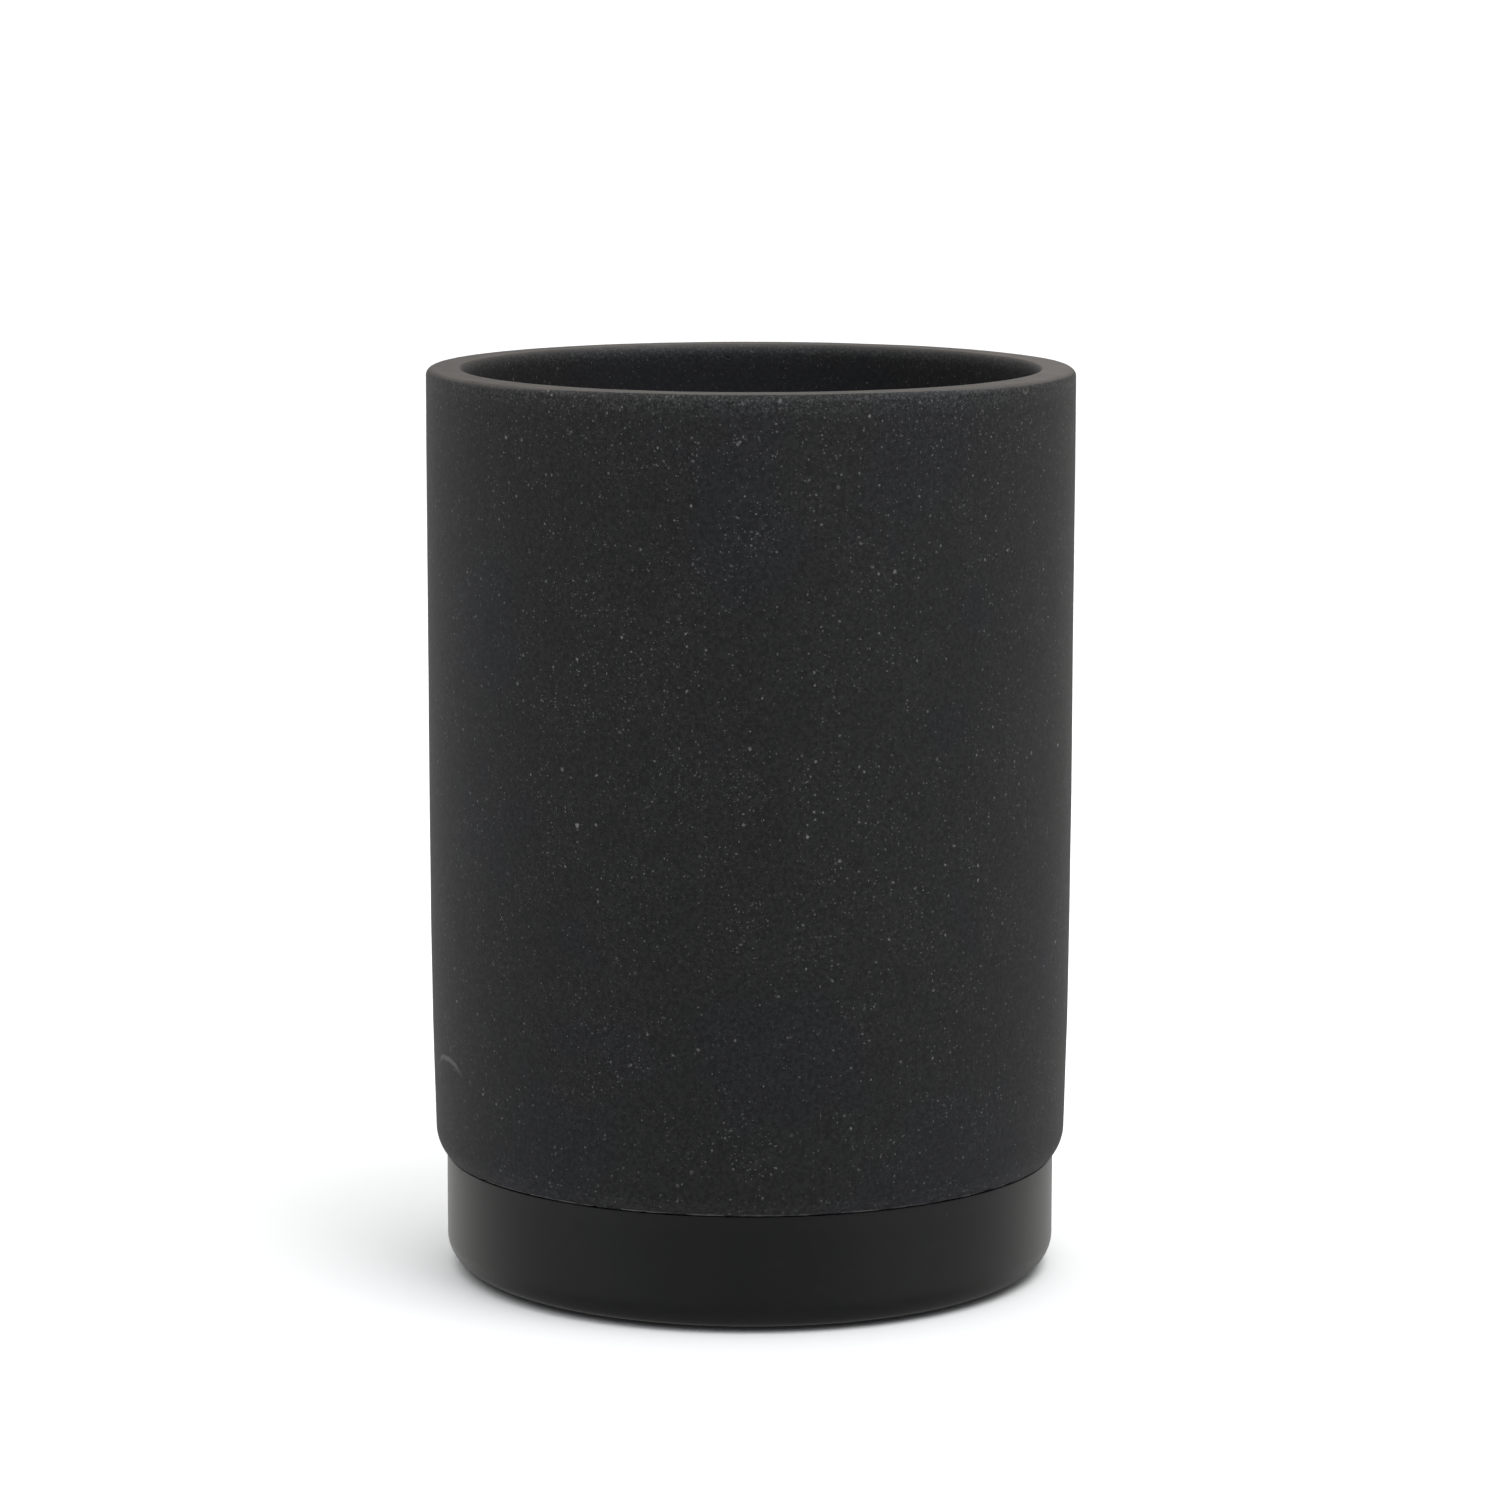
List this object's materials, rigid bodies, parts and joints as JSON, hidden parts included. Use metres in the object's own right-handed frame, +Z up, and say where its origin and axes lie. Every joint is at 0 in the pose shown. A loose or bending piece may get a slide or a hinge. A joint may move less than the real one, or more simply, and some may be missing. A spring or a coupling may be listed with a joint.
{
  "type": "candle jar",
  "caption": "Empty open-topped cylindrical candle vessel: thick-walled speckled cast cup bonded to a set-in smooth black plinth with a rounded foot edge and a non-slip pad.",
  "frame": {"origin": "centre of the lower face of the foot pad, which the jar stands on", "axes": "+Z up along the jar's axis towards its mouth; the jar is round, so +X and +Y are any two level directions"},
  "size_m": [0.08, 0.08, 0.1125],
  "materials": {
    "speckled_casting": "matte",
    "satin_black": "satin",
    "adhesive": "satin",
    "pad": "matte"
  },
  "bodies": {
    "root": {"jar_body": "speckled_casting", "base": "satin_black", "bond_ring": "adhesive", "foot_pad": "pad"}
  },
  "joints": []
}
